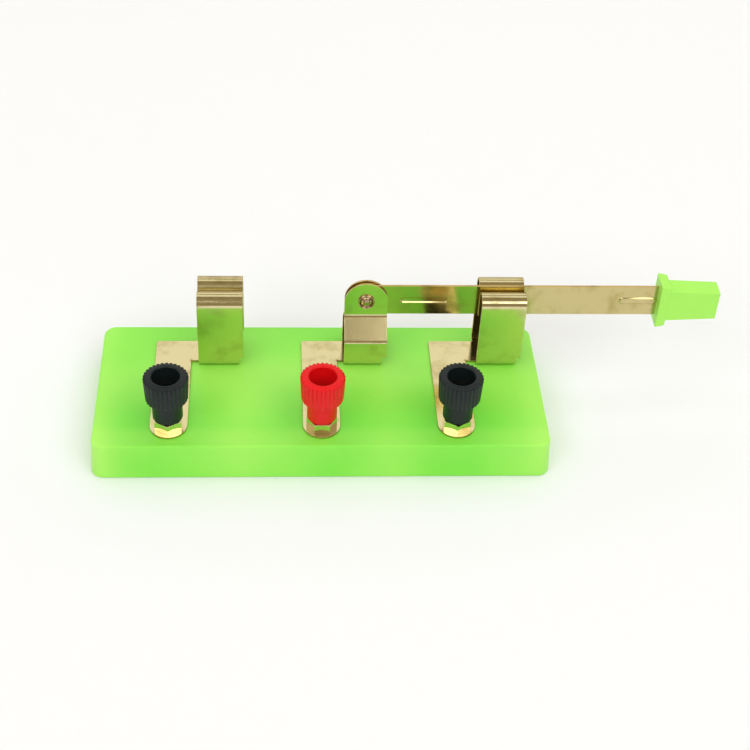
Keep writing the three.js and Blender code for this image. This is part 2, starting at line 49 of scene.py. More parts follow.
BASE_LENGTH = 0.110
BASE_DEPTH = 0.045
BASE_WALL = 0.0022
BASE_RIB = 0.0018
BASE_CORNER = 0.003
BASE_TOP_ROUND = 0.0006
POCKET_CORNER = 0.0012
MOULD_EDGE = 0.00022
STRIP_WIDTH = 0.009
STUD_HOLE = 0.00195
RIVET_HOLE = 0.00137
TOUCHING = 2e-6

SIDES = ("left", "centre", "right")


def add(shape, name, scale=(1, 1, 1), **settings):
    """Adds a primitive, puts its place into its mesh and opens it for editing."""
    bpy.ops.object.select_all(action="DESELECT")
    getattr(bpy.ops.mesh, f"primitive_{shape}_add")(**settings)
    piece = bpy.context.object
    piece.scale = scale
    bpy.ops.object.transform_apply(location=True, rotation=True, scale=True)
    piece.name = name
    piece.data.name = name
    bpy.ops.object.mode_set(mode="EDIT")
    return piece


def close():
    bpy.ops.object.mode_set(mode="OBJECT")


def reopen():
    bpy.ops.object.mode_set(mode="EDIT")


def near(a, b):
    return abs(a - b) < TOUCHING


def middle(item):
    if isinstance(item, bmesh.types.BMVert):
        return item.co
    if isinstance(item, bmesh.types.BMEdge):
        return (item.verts[0].co + item.verts[1].co) / 2
    return item.calc_center_median()


def pick(kind, test):
    """Selects the verts, edges or faces of the open mesh whose middle passes the test."""
    bpy.ops.mesh.select_mode(type={"verts": "VERT", "edges": "EDGE", "faces": "FACE"}[kind])
    bpy.ops.mesh.select_all(action="DESELECT")
    mesh = bmesh.from_edit_mesh(bpy.context.object.data)
    for item in getattr(mesh, kind):
        item.select_set(test(middle(item), item))
    mesh.select_flush_mode()
    bmesh.update_edit_mesh(bpy.context.object.data)


def move(x, y, z):
    bpy.ops.transform.translate(value=(x, y, z))


def extrude(x, y, z):
    bpy.ops.mesh.extrude_region_move(TRANSFORM_OT_translate={"value": (x, y, z)})


def scale_about(centre, x, y, z):
    bpy.ops.transform.resize(value=(x, y, z), center_override=centre)


def slice_at(axis, place, test):
    """Cuts the faces that pass the test along a plane across the axis, and keeps both sides."""
    pick("faces", test)
    normal = Vector((0, 0, 0))
    normal["xyz".index(axis)] = 1
    bpy.ops.mesh.bisect(plane_co=normal * place, plane_no=normal)


def apply(piece, kind, **settings):
    """Adds a modifier with its settings and applies it."""
    modifier = piece.modifiers.new(kind, kind)
    for setting, value in settings.items():
        setattr(modifier, setting, value)
    bpy.ops.object.modifier_apply(modifier=modifier.name)


def take_up(piece):
    """Selects this piece alone, so that the next operator acts on it."""
    bpy.ops.object.select_all(action="DESELECT")
    bpy.context.view_layer.objects.active = piece
    piece.select_set(True)


def shape_with(piece, cutter, operation):
    """Cuts the piece with the cutter, or keeps what they share, and throws the cutter away."""
    take_up(piece)
    apply(piece, "BOOLEAN", object=cutter, operation=operation, solver="EXACT")
    bpy.data.objects.remove(cutter)


def drill(piece, centre, radius, depth, axis="z"):
    """Drills a round hole through a closed piece. A twist keeps the bit's edges off the piece's."""
    twist = 0.03
    lean = {"z": (0, 0, twist), "y": (math.pi / 2, twist, 0)}[axis]
    bit = add("cylinder", "bit", vertices=64, radius=radius, depth=depth, location=centre, rotation=lean)
    close()
    shape_with(piece, bit, "DIFFERENCE")


def round_over(piece, width, segments, limit_deg=40):
    apply(piece, "BEVEL", width=width, segments=segments, limit_method="ANGLE",
          angle_limit=math.radians(limit_deg))


def smooth(piece, limit_deg=40):
    take_up(piece)
    bpy.ops.object.shade_smooth_by_angle(angle=math.radians(limit_deg))
    apply(piece, "WEIGHTED_NORMAL", weight=90, keep_sharp=True)


def fit(piece, material, body, node):
    """Gives the piece its finish and its moving body, and hides the CAD node that it stands for."""
    if not piece.data.materials:
        piece.data.materials.append(material)
    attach(piece, body)
    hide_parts(node)


def node(tree, kind, **values):
    """Adds a shader node. A value named in_0, in_1 and so on sets that input."""
    made = tree.nodes.new("ShaderNode" + kind)
    for key, value in values.items():
        if key.startswith("in_"):
            made.inputs[int(key[3:])].default_value = value
        else:
            setattr(made, key, value)
    return made


def noise(tree, vector, size, detail, rough=0.5):
    """A noise whose spots are about that size, in metres."""
    made = node(tree, "TexNoise")
    made.inputs["Scale"].default_value = 1 / size
    made.inputs["Detail"].default_value = detail
    made.inputs["Roughness"].default_value = rough
    tree.links.new(vector, made.inputs["Vector"])
    return made.outputs["Fac"]


def ramp(tree, value, low, high, out_low=0.0, out_high=1.0):
    """Goes softly from out_low to out_high while the value goes from low to high."""
    made = node(tree, "MapRange", interpolation_type="SMOOTHSTEP", clamp=True,
                in_1=low, in_2=high, in_3=out_low, in_4=out_high)
    tree.links.new(value, made.inputs[0])
    return made.outputs[0]


def sums(tree, operation, a, b):
    made = node(tree, "Math", operation=operation)
    for socket, value in zip(made.inputs, (a, b)):
        if isinstance(value, (int, float)):
            socket.default_value = value
        else:
            tree.links.new(value, socket)
    return made.outputs[0]


def blend_colours(tree, factor, a, b):
    made = node(tree, "Mix", data_type="RGBA")
    tree.links.new(factor, made.inputs["Factor"])
    for socket, value in ((made.inputs[6], a), (made.inputs[7], b)):
        if isinstance(value, tuple):
            socket.default_value = (*value, 1)
        else:
            tree.links.new(value, socket)
    return made.outputs[2]


def new_group(name, takes, gives):
    """Starts a shader node group with named inputs and outputs, each a (name, kind, default)."""
    tree = bpy.data.node_groups.new(name, "ShaderNodeTree")
    for label, kind, default in takes:
        tree.interface.new_socket(label, in_out="INPUT", socket_type=kind).default_value = default
    for label, kind in gives:
        tree.interface.new_socket(label, in_out="OUTPUT", socket_type=kind)
    return tree, tree.nodes.new("NodeGroupInput"), tree.nodes.new("NodeGroupOutput")


def new_material(name, **uniform):
    """A material whose uniform values sit on the shader's own sockets."""
    material = bpy.data.materials.new(name)
    material.use_nodes = True
    shader = material.node_tree.nodes["Principled BSDF"]
    for socket, value in uniform.items():
        shader.inputs[socket.replace("_", " ")].default_value = value
    return material, material.node_tree, shader


def lay_skin(material, tree, shader, group, bump, depth, **values):
    """Places a skin group in a material: its colour, its gloss and its fine relief."""
    skin = tree.nodes.new("ShaderNodeGroup")
    skin.node_tree = group
    for label, value in values.items():
        skin.inputs[label.replace("_", " ")].default_value = value
    relief = node(tree, "Bump")
    relief.inputs["Strength"].default_value = bump
    relief.inputs["Distance"].default_value = depth
    tree.links.new(skin.outputs["Height"], relief.inputs["Height"])
    tree.links.new(relief.outputs["Normal"], shader.inputs["Normal"])
    tree.links.new(skin.outputs["Color"], shader.inputs["Base Color"])
    tree.links.new(skin.outputs["Roughness"], shader.inputs["Roughness"])
    return skin


# Moulded plastic: cloudy colour from uneven filling, a fine spark-eroded grain, a few rubs.
plastic_skin, taken, given = new_group(
    "moulded_plastic",
    [("Light", "NodeSocketColor", (1, 1, 1, 1)), ("Deep", "NodeSocketColor", (0, 0, 0, 1)),
     ("Shift", "NodeSocketFloat", 0.0), ("Gloss", "NodeSocketFloat", 0.4)],
    [("Color", "NodeSocketColor"), ("Roughness", "NodeSocketFloat"), ("Height", "NodeSocketFloat")])
place = node(plastic_skin, "TexCoord").outputs["Object"]
clouds = noise(plastic_skin, place, 0.022, 2.0, 0.45)
grain = noise(plastic_skin, place, 0.00035, 3.0)
rubs = noise(plastic_skin, place, 0.004, 5.0, 0.7)
# The Painted shading input, set only on the base, adds painted shade where it is above zero and painted
# light where it is below zero.
depth = sums(plastic_skin, "ADD", ramp(plastic_skin, clouds, 0.34, 0.66, 0.3, 0.48), taken.outputs["Shift"])
depth = sums(plastic_skin, "MINIMUM", sums(plastic_skin, "MAXIMUM", depth, 0.0), 1.0)
plastic_skin.links.new(
    blend_colours(plastic_skin, depth, taken.outputs["Light"], taken.outputs["Deep"]), given.inputs["Color"])
plastic_skin.links.new(
    sums(plastic_skin, "ADD", taken.outputs["Gloss"], ramp(plastic_skin, rubs, 0.5, 0.75, 0.0, 0.12)),
    given.inputs["Roughness"])
plastic_skin.links.new(grain, given.inputs["Height"])

low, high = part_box("base")
base_top = high.z
plate_underside = base_top - BASE_WALL
post_x = {}
contact_x = {}
for side in SIDES:
    strip_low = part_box(f"contact_{side}")[0]
    rivet_low, rivet_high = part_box(f"contact_rivet_{side}")
    post_x[side] = strip_low.x + STRIP_WIDTH / 2
    contact_x[side] = (rivet_low.x + rivet_high.x) / 2
    post_y = strip_low.y + STRIP_WIDTH / 2
    blade_y = (rivet_low.y + rivet_high.y) / 2

lime_base, tree, shader = new_material("lime_base", Specular_IOR_Level=0.5)
skin = lay_skin(lime_base, tree, shader, plastic_skin, 0.25, 0.00003,
                Light=(0.41, 0.90, 0.125, 1), Deep=(0.16, 0.75, 0.040, 1), Gloss=0.36)
# Painted shading: the moulding is painted greener round each post, for the caps' shadow and partly for the
# bosses under the posts. It is painted darker behind the contacts and towards the bottom, and paler towards
# its ends and along its front edge, where the light falls.
spot = node(tree, "TexCoord").outputs["Object"]
apart = node(tree, "SeparateXYZ")
tree.links.new(spot, apart.inputs[0])
across = sums(tree, "ABSOLUTE", apart.outputs["X"], 0.0)
painted_shading = ramp(tree, across, BASE_LENGTH / 2 - 0.008, BASE_LENGTH / 2, 0.0, -0.25)
front = ramp(tree, apart.outputs["Y"], 0.004 - BASE_DEPTH / 2, 0.008 - BASE_DEPTH / 2, -0.2, 0.0)
lower = ramp(tree, apart.outputs["Z"], 0.0, base_top, 0.2, 0.0)
back = ramp(tree, apart.outputs["Y"], 0.003, 0.014, 0.0, 0.2)
for part in (front, lower, back):
    painted_shading = sums(tree, "ADD", painted_shading, part)
# Painted shade round each post, where the caps shade the moulding.
for side in SIDES:
    ball = node(tree, "VectorMath", operation="DISTANCE", in_1=(post_x[side], post_y, base_top))
    tree.links.new(spot, ball.inputs[0])
    painted_shading = sums(tree, "ADD", painted_shading, ramp(tree, ball.outputs["Value"], 0.006, 0.022, 0.5, 0.0))
tree.links.new(painted_shading, skin.inputs["Shift"])

base = add("cube", "base_moulding", size=1, location=(low + high) / 2, scale=high - low)
pick("faces", lambda p, face: face.normal.z > 0.9)
scale_about((0, 0, base_top), BASE_LENGTH / (high.x - low.x), BASE_DEPTH / (high.y - low.y), 1)
pick("edges", lambda p, edge: near(p.z, (low.z + high.z) / 2))
bpy.ops.mesh.bevel(offset=BASE_CORNER, segments=10)
pick("edges", lambda p, edge: near(p.z, base_top))
bpy.ops.mesh.bevel(offset=BASE_TOP_ROUND, segments=5)
cross_ribs = [(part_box(f"contact_{a}")[1].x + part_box(f"contact_{b}")[0].x) / 2
              for a, b in (("left", "centre"), ("centre", "right"))]
pocket_x = BASE_LENGTH / 2 - BASE_WALL
pocket_y = BASE_DEPTH / 2 - BASE_WALL
x_walls = [-pocket_x] + [x + s * BASE_RIB / 2 for x in cross_ribs for s in (-1, 1)] + [pocket_x]
y_walls = [-pocket_y, -BASE_RIB / 2, BASE_RIB / 2, pocket_y]
for axis, walls in (("x", x_walls), ("y", y_walls)):
    for wall in walls:
        slice_at(axis, wall, lambda p, face: True)


def over_pocket(p, item):
    in_x = any(a < p.x < b for a, b in zip(x_walls[::2], x_walls[1::2]))
    in_y = any(a < p.y < b for a, b in zip(y_walls[::2], y_walls[1::2]))
    return near(p.z, low.z) and in_x and in_y


pick("faces", over_pocket)
extrude(0, 0, plate_underside - low.z)
pick("edges", lambda p, edge: near(p.z, (low.z + plate_underside) / 2) and abs(p.x) < pocket_x + TOUCHING
     and abs(p.y) < pocket_y + TOUCHING)
bpy.ops.mesh.bevel(offset=POCKET_CORNER, segments=5)
close()
for side in SIDES:
    drill(base, (post_x[side], post_y, base_top), STUD_HOLE, 4 * BASE_WALL)
    drill(base, (contact_x[side], blade_y, base_top), RIVET_HOLE, 4 * BASE_WALL)
round_over(base, MOULD_EDGE, 3, 50)
smooth(base)
fit(base, lime_base, "switch_base", "base")

# ---- contacts ---------------------------------------------------------------------------
# Each contact is one stamping in half-hard brass sheet: a foot strip with a round end, a
# short bridge, and a web with two arms bent up from it. The outer two roll over into spring
# jaws; the centre one necks in to a clevis that holds the blade.

SHEET = 0.0005
ARM_SPAN = 0.0115
ARM_BEND = 0.0014
ARM_NOTCH_WIDTH = 0.0011
ARM_NOTCH_HEIGHT = 0.0026
BRIDGE_SETBACK = 0.0017
BRIDGE_FRONT = ARM_SPAN / 2 - BRIDGE_SETBACK
BRIDGE_BACK = 0.0036
BRIDGE_FILLET = 0.0005
JAW_WIDTH = 0.0112
JAW_FLAP = 0.0085
JAW_FLAP_GAP = 0.0007
PRESS_LINES = 7
PRESS_STEPS = 4
PRESS_DEPTH = 0.00003
CLEVIS_WIDTH = 0.0107
CLEVIS_SHOULDER = 0.0077
CLEVIS_NECK = 0.0123
CLEVIS_BEND = 0.0008
SHEET_EDGE = 0.00007
PIVOT_HOLE = 0.00145

# Rolled or turned metal: lacquer clouds, water stains, rolling lines, rare dark specks.
metal_skin, taken, given = new_group(
    "worked_metal",
    [("Bright", "NodeSocketColor", (1, 1, 1, 1)), ("Stained", "NodeSocketColor", (0, 0, 0, 1)),
     ("Stain", "NodeSocketFloat", 0.5), ("Gloss", "NodeSocketFloat", 0.1),
     ("Lines", "NodeSocketVector", (1, 1, 1))],
    [("Color", "NodeSocketColor"), ("Roughness", "NodeSocketFloat"), ("Height", "NodeSocketFloat")])
place = node(metal_skin, "TexCoord").outputs["Object"]
stretched = node(metal_skin, "VectorMath", operation="MULTIPLY")
metal_skin.links.new(place, stretched.inputs[0])
metal_skin.links.new(taken.outputs["Lines"], stretched.inputs[1])
clouds = ramp(metal_skin, noise(metal_skin, place, 0.006, 4.0, 0.6), 0.45, 0.72)
lines = noise(metal_skin, stretched.outputs[0], 0.0006, 4.0, 0.6)
specks = ramp(metal_skin, noise(metal_skin, place, 0.0011, 2.0), 0.74, 0.8)
stain = sums(metal_skin, "MULTIPLY", sums(metal_skin, "MAXIMUM", clouds, specks), taken.outputs["Stain"])
metal_skin.links.new(
    blend_colours(metal_skin, stain, taken.outputs["Bright"], taken.outputs["Stained"]),
    given.inputs["Color"])
rough = sums(metal_skin, "ADD", taken.outputs["Gloss"], sums(metal_skin, "MULTIPLY", stain, 0.16))
metal_skin.links.new(
    sums(metal_skin, "ADD", rough, ramp(metal_skin, lines, 0.3, 0.8, 0.0, 0.07)), given.inputs["Roughness"])
metal_skin.links.new(lines, given.inputs["Height"])

sheet_brass, tree, shader = new_material("sheet_brass", Metallic=1.0)
lay_skin(sheet_brass, tree, shader, metal_skin, 0.6, 0.00002,
         Bright=(0.72, 0.64, 0.36, 1), Stained=(0.42, 0.33, 0.12, 1), Stain=0.5, Gloss=0.09,
         Lines=(2, 2, 2))

# The sheared edges of the sheet are duller and browner than its rolled faces.
sheared_brass, tree, shader = new_material("sheared_brass", Metallic=1.0)
lay_skin(sheared_brass, tree, shader, metal_skin, 0.3, 0.00002,
         Bright=(0.60, 0.42, 0.15, 1), Stained=(0.30, 0.19, 0.06, 1), Stain=0.7, Gloss=0.28, Lines=(1, 1, 1))


def soften(piece, width, segments, limit_deg=50, smooth_deg=35):
    """Smooths the curved faces, then rounds the corners and keeps the flat faces truly flat."""
    take_up(piece)
    bpy.ops.object.shade_smooth_by_angle(angle=math.radians(smooth_deg))
    apply(piece, "BEVEL", width=width, segments=segments, limit_method="ANGLE",
          angle_limit=math.radians(limit_deg), harden_normals=True)


def lift_edge(y, z, dy, dz):
    pick("edges", lambda p, edge: near(p.y, y) and near(p.z, z) and near(*[v.co.z for v in edge.verts])
         and near(*[v.co.y for v in edge.verts]))
    extrude(0, dy, dz)


def raise_jaw(x, y, turn, foot, top):
    """Straight arm, a round roll over the top, and the flap that hangs down to grip."""
    half = (ARM_SPAN - SHEET) / 2
    roll = (half - JAW_FLAP_GAP) / 2
    roll_z = top - SHEET / 2 - roll
    lift_edge(y + turn * half, foot, 0, roll_z - foot)
    pick("edges", lambda p, edge: near(p.z, roll_z) and near(p.y, y + turn * half))
    roll_y = y + turn * (half - roll)
    bpy.ops.mesh.spin(steps=PRESS_LINES * PRESS_STEPS, angle=-turn * math.pi, center=(x, roll_y, roll_z),
                      axis=(1, 0, 0))
    # The press leaves faint flats along the roll.
    for line in range(1, PRESS_LINES):
        lean = math.pi * line / PRESS_LINES
        mark = Vector((x, roll_y + roll * math.cos(lean), roll_z + roll * math.sin(lean)))
        pick("verts", lambda p, vert: near(p.y, mark.y) and near(p.z, mark.z))
        move(0, -PRESS_DEPTH * math.cos(lean), -PRESS_DEPTH * math.sin(lean))
    lift_edge(y + turn * JAW_FLAP_GAP, roll_z, 0, top - JAW_FLAP - roll_z)


def raise_clevis(x, y, turn, foot, top):
    """Low wall, a slant in to the blade, and a plate beside it up to the pivot."""
    half = (ARM_SPAN - SHEET) / 2
    shoulder = foot - ARM_NOTCH_HEIGHT + CLEVIS_SHOULDER
    neck = foot - ARM_NOTCH_HEIGHT + CLEVIS_NECK
    lift_edge(y + turn * half, foot, 0, shoulder - foot)
    lift_edge(y + turn * half, shoulder, turn * (JAW_FLAP_GAP - half), neck - shoulder)
    lift_edge(y + turn * JAW_FLAP_GAP, neck, 0, top - CLEVIS_WIDTH / 2 - neck)


def add_contact(side, width, raise_arm):
    low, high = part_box(f"contact_{side}")
    x = high.x - width / 2
    y = high.y - ARM_SPAN / 2
    left = high.x - width
    narrow = high.x - ARM_NOTCH_WIDTH
    web_z = low.z + SHEET / 2
    notch_z = low.z + ARM_NOTCH_HEIGHT
    half = (ARM_SPAN - SHEET) / 2
    bend = ARM_BEND - SHEET / 2
    flat = half - bend
    strip_x = low.x + STRIP_WIDTH / 2
    strip_right = low.x + STRIP_WIDTH

    piece = add("plane", f"{side}_contact_stamping", size=1,
                location=((left + narrow) / 2, y, web_z), scale=(narrow - left, 2 * flat, 1))
    for turn in (-1, 1):
        pick("edges", lambda p, edge: near(p.y, y + turn * flat) and near(p.z, web_z))
        bpy.ops.mesh.spin(steps=10, angle=-turn * math.pi / 2, center=(x, y + turn * flat, web_z + bend),
                          axis=(1, 0, 0))
        lift_edge(y + turn * half, web_z + bend, 0, notch_z - web_z - bend)
        raise_arm(x, y, turn, notch_z, high.z)
    pick("edges", lambda p, edge: near(p.x, narrow) and p.z > notch_z and edge.is_boundary)
    extrude(ARM_NOTCH_WIDTH, 0, 0)

    if raise_arm is raise_clevis:
        pivot_z = high.z - width / 2
        for place in (x, 2 * x - narrow):
            slice_at("x", place, lambda p, face: p.z > low.z + CLEVIS_NECK)
        for turn in (-1, 1):
            plate_y = y + turn * JAW_FLAP_GAP
            pick("edges", lambda p, edge: near(p.z, pivot_z) and near(p.y, plate_y) and p.x > x)
            bpy.ops.mesh.spin(steps=32, angle=math.pi, center=(x, plate_y, pivot_z), axis=(0, 1, 0))
        pick("edges", lambda p, edge: near(p.z, low.z + CLEVIS_NECK) or near(p.z, low.z + CLEVIS_SHOULDER))
        bpy.ops.mesh.bevel(offset=CLEVIS_BEND, segments=6)

    for place in (y - BRIDGE_FRONT, y + BRIDGE_BACK):
        slice_at("y", place, lambda p, face: near(p.z, web_z))
    pick("edges", lambda p, edge: near(p.x, left) and near(p.z, web_z)
         and y - BRIDGE_FRONT < p.y < y + BRIDGE_BACK)
    extrude(strip_right - left, 0, 0)
    extrude(-STRIP_WIDTH / 2, 0, 0)
    extrude(-STRIP_WIDTH / 2, 0, 0)
    pick("edges", lambda p, edge: near(p.y, y - BRIDGE_FRONT) and p.x < strip_right and near(p.z, web_z))
    extrude(0, post_y - y + BRIDGE_FRONT, 0)
    pick("edges", lambda p, edge: near(p.y, post_y) and p.x > strip_x)
    bpy.ops.mesh.spin(steps=32, angle=math.pi, center=(strip_x, post_y, web_z), axis=(0, 0, 1))
    bpy.ops.mesh.select_all(action="SELECT")
    bpy.ops.mesh.remove_doubles(threshold=TOUCHING)
    bpy.ops.mesh.normals_make_consistent(inside=False)
    close()

    piece.data.materials.append(sheet_brass)
    piece.data.materials.append(sheared_brass)
    apply(piece, "SOLIDIFY", thickness=SHEET, offset=0, use_even_offset=True, material_offset_rim=1)
    reopen()
    pick("edges", lambda p, edge: near(p.z, web_z) and near(p.x, strip_right)
         and near(p.y, y - BRIDGE_FRONT))
    bpy.ops.mesh.bevel(offset=BRIDGE_FILLET, segments=6)
    pick("edges", lambda p, edge: near(p.z, web_z) and near(p.x, low.x) and near(p.y, y + BRIDGE_BACK))
    bpy.ops.mesh.bevel(offset=BRIDGE_FILLET, segments=5)
    close()
    drill(piece, (strip_x, post_y, web_z), STUD_HOLE, 4 * SHEET)
    drill(piece, (x, y, web_z), RIVET_HOLE, 4 * SHEET)
    if raise_arm is raise_clevis:
        drill(piece, (x, y, high.z - width / 2), PIVOT_HOLE, ARM_SPAN, "y")
    soften(piece, SHEET_EDGE, 2)
    fit(piece, sheet_brass, "switch_base", f"contact_{side}")


add_contact("left", JAW_WIDTH, raise_jaw)
add_contact("centre", CLEVIS_WIDTH, raise_clevis)
add_contact("right", JAW_WIDTH, raise_jaw)

# ---- contact rivets ---------------------------------------------------------------------
# A headed brass rivet holds each contact's web to the base. Its low dome sits in the web and
# its shank is set over on the underside of the base.

RIVET_EDGE = 0.00012
RIVET_RIM = 0.0002
RIVET_PLAY = 0.00015
SEAT_PLAY = 0.00003


def turn_on_lathe(name, profile, centre, steps):
    """Turns a chain of (radius, height) points about an upright axis through the centre."""
    piece = add("plane", name, size=0.001, location=centre)
    bpy.ops.mesh.merge(type="CENTER")
    (radius, height), *rest = profile
    bpy.ops.mesh.select_all(action="SELECT")
    move(radius, 0, height)
    for next_radius, next_height in rest:
        bpy.ops.mesh.extrude_vertices_move(
            TRANSFORM_OT_translate={"value": (next_radius - radius, 0, next_height - height)})
        radius, height = next_radius, next_height
    bpy.ops.mesh.select_all(action="SELECT")
    bpy.ops.mesh.spin(steps=steps, angle=2 * math.pi, center=centre, axis=(0, 0, 1))
    bpy.ops.mesh.select_all(action="SELECT")
    bpy.ops.mesh.remove_doubles(threshold=TOUCHING)
    bpy.ops.mesh.normals_make_consistent(inside=False)
    close()
    return piece


def dome(radius, base, rise, steps=8):
    """The (radius, height) points of a low dome, from its rim to its middle."""
    return [(radius * math.cos(a), base + rise * math.sin(a))
            for a in (math.pi / 2 * i / steps for i in range(steps + 1))]


rivet_brass, tree, shader = new_material("rivet_brass", Metallic=1.0)
lay_skin(rivet_brass, tree, shader, metal_skin, 0.2, 0.00003,
         Bright=(0.78, 0.61, 0.31, 1), Stained=(0.34, 0.22, 0.09, 1), Stain=0.6, Gloss=0.16,
         Lines=(1, 1, 1))

for side in SIDES:
    low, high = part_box(f"contact_rivet_{side}")
    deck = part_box(f"contact_{side}")[0].z
    head = (high.x - low.x) / 2
    shank = RIVET_HOLE - RIVET_PLAY
    seat = deck + SHEET + SEAT_PLAY
    under = plate_underside - SEAT_PLAY
    rim = seat + RIVET_RIM
    upper = [(head, rim)] + dome(head, rim, high.z - rim)[1:]
    lower = [(r, -z) for r, z in reversed(dome(head, -under, under - low.z))]
    profile = [*lower, (shank, under), (shank, seat), (head, seat), *upper]
    rivet = turn_on_lathe(f"{side}_contact_rivet", profile, (contact_x[side], blade_y, 0), 64)
    round_over(rivet, RIVET_EDGE, 2, 50)
    smooth(rivet)
    fit(rivet, rivet_brass, "switch_base", f"contact_rivet_{side}")

# ---- blade ------------------------------------------------------------------------------
# A flat bar blanked from brass strip, with a full-round end at the pivot and two stiffening
# beads pressed the opposite way. Its narrow tang is moulded into the handle.

BLADE_THICKNESS = 0.0006
BLADE_HEIGHT = 0.0086
TANG_LENGTH = 0.0115
TANG_HEIGHT = 0.0052
BEAD_WIDTH = 0.0019
BEAD_DEPTH = 0.00025
BEAD_FROM_PIVOT = 0.0083
BEAD_LENGTH = 0.0123
HANDLE_BEAD_LENGTH = 0.0095
BEAD_LIP = 0.00012
BEAD_SLOPES = ((0.0001, 0.25), (0.00012, 0.5), (0.0001, 0.25))
BLADE_EDGE = 0.00009

low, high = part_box("blade")
pivot_low, pivot_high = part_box("pivot_rivet")
pivot = (pivot_low + pivot_high) / 2
handle_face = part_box("handle")[0].x
shoulder = handle_face - SEAT_PLAY

blade_brass, tree, shader = new_material("blade_brass", Metallic=1.0)
lay_skin(blade_brass, tree, shader, metal_skin, 0.10, 0.00002,
         Bright=(0.62, 0.52, 0.25, 1), Stained=(0.42, 0.34, 0.11, 1), Stain=0.75, Gloss=0.11,
         Lines=(0.06, 1, 1))


def stadium(centre, length, width):
    """Adds a round-ended slot outline to the open mesh, upright in the XZ plane."""
    bpy.ops.mesh.primitive_circle_add(
        vertices=30, radius=width / 2, location=centre, rotation=(math.pi / 2, 0, 0), fill_type="NOTHING")
    bpy.ops.mesh.select_mode(type="VERT")
    mesh = bmesh.from_edit_mesh(bpy.context.object.data)
    for vert in mesh.verts:
        if vert.select:
            vert.select_set(vert.co.x > centre[0])
    mesh.select_flush_mode()
    bmesh.update_edit_mesh(bpy.context.object.data)
    move(length - width, 0, 0)


blade = add("circle", "knife_blade", vertices=96, radius=BLADE_HEIGHT / 2, location=pivot,
            rotation=(math.pi / 2, 0, 0), fill_type="NOTHING")
pick("verts", lambda p, vert: p.x > pivot.x + TOUCHING)
bpy.ops.mesh.delete(type="VERT")
pick("verts", lambda p, vert: near(p.x, pivot.x))
extrude(shoulder - pivot.x, 0, 0)
extrude(0, 0, 0)
scale_about(pivot, 1, 1, TANG_HEIGHT / BLADE_HEIGHT)
extrude(TANG_LENGTH, 0, 0)
bpy.ops.mesh.edge_face_add()
beads = ((pivot.x + BEAD_FROM_PIVOT, BEAD_LENGTH, BEAD_DEPTH),
         (shoulder - HANDLE_BEAD_LENGTH, HANDLE_BEAD_LENGTH, -BEAD_DEPTH))
lip_width = BEAD_WIDTH + 2 * BEAD_LIP
for start, length, rise in beads:
    stadium((start + BEAD_WIDTH / 2, pivot.y, pivot.z), length + 2 * BEAD_LIP, lip_width)
bpy.ops.mesh.primitive_circle_add(vertices=48, radius=PIVOT_HOLE, location=pivot,
                                  rotation=(math.pi / 2, 0, 0), fill_type="NOTHING")
bpy.ops.mesh.select_all(action="SELECT")
bpy.ops.mesh.fill(use_beauty=True)
for start, length, rise in beads:
    pick("verts", lambda p, vert: abs(p.z - pivot.z) < lip_width / 2 + TOUCHING
         and start - 2 * BEAD_LIP < p.x < start + length + 2 * BEAD_LIP)
    bpy.ops.mesh.edge_face_add()
    bpy.ops.mesh.inset(thickness=BEAD_LIP, depth=0)
    for width, share in BEAD_SLOPES:
        bpy.ops.mesh.inset(thickness=width, depth=0)
        move(0, rise * share, 0)
bpy.ops.mesh.select_all(action="SELECT")
bpy.ops.mesh.normals_make_consistent(inside=False)
close()
blade.data.materials.append(blade_brass)
blade.data.materials.append(sheared_brass)
apply(blade, "SOLIDIFY", thickness=BLADE_THICKNESS, offset=0, use_even_offset=True, material_offset_rim=1)
soften(blade, BLADE_EDGE, 2, 60, 30)
fit(blade, blade_brass, "knife", "blade")

# ---- handle -----------------------------------------------------------------------------
# A flange and a tapered grip in the base's lime plastic, moulded in one over the blade's
# tang, so that fingers stay off the live blade.

GRIP_HEIGHT = 0.009
GRIP_DEPTH = 0.0052
GRIP_END_SHARE = 0.89
FLANGE_THICKNESS = 0.0024
FLANGE_TAPER = 0.93
FLANGE_LAND = 0.0003
GRIP_SIDE_SHARE = 0.94
TANG_PLAY = 0.00006
TANG_END_PLAY = 0.0001
HANDLE_EDGE = 0.001

lime_handle, tree, shader = new_material("lime_handle", Specular_IOR_Level=0.5)
lay_skin(lime_handle, tree, shader, plastic_skin, 0.25, 0.00003,
         Light=(0.44, 0.90, 0.13, 1), Deep=(0.32, 0.83, 0.08, 1), Gloss=0.38)

low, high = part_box("handle")
handle_middle = (low + high) / 2
handle = add("cube", "handle_grip", size=1,
             location=(low.x + FLANGE_THICKNESS / 2, handle_middle.y, handle_middle.z),
             scale=(FLANGE_THICKNESS, high.y - low.y, high.z - low.z))
pick("faces", lambda p, face: face.normal.x > 0.9)
scale_about(handle_middle, 1, FLANGE_TAPER, FLANGE_TAPER)
bpy.ops.mesh.inset(thickness=FLANGE_LAND, depth=0)
inner_y = (high.y - low.y) * FLANGE_TAPER - 2 * FLANGE_LAND
inner_z = (high.z - low.z) * FLANGE_TAPER - 2 * FLANGE_LAND
scale_about(handle_middle, 1, GRIP_DEPTH / inner_y, GRIP_HEIGHT / inner_z)
extrude(high.x - low.x - FLANGE_THICKNESS, 0, 0)
scale_about(handle_middle, 1, GRIP_SIDE_SHARE, GRIP_END_SHARE)
close()
round_over(handle, HANDLE_EDGE, 5, 25)
tang_pocket = add("cube", "tang_pocket", size=1, location=(low.x + TANG_LENGTH / 2, pivot.y, pivot.z),
                  scale=(TANG_LENGTH + TANG_END_PLAY, BLADE_THICKNESS + TANG_PLAY, TANG_HEIGHT + TANG_PLAY))
close()
shape_with(handle, tang_pocket, "DIFFERENCE")
smooth(handle)
fit(handle, lime_handle, "knife", "handle")

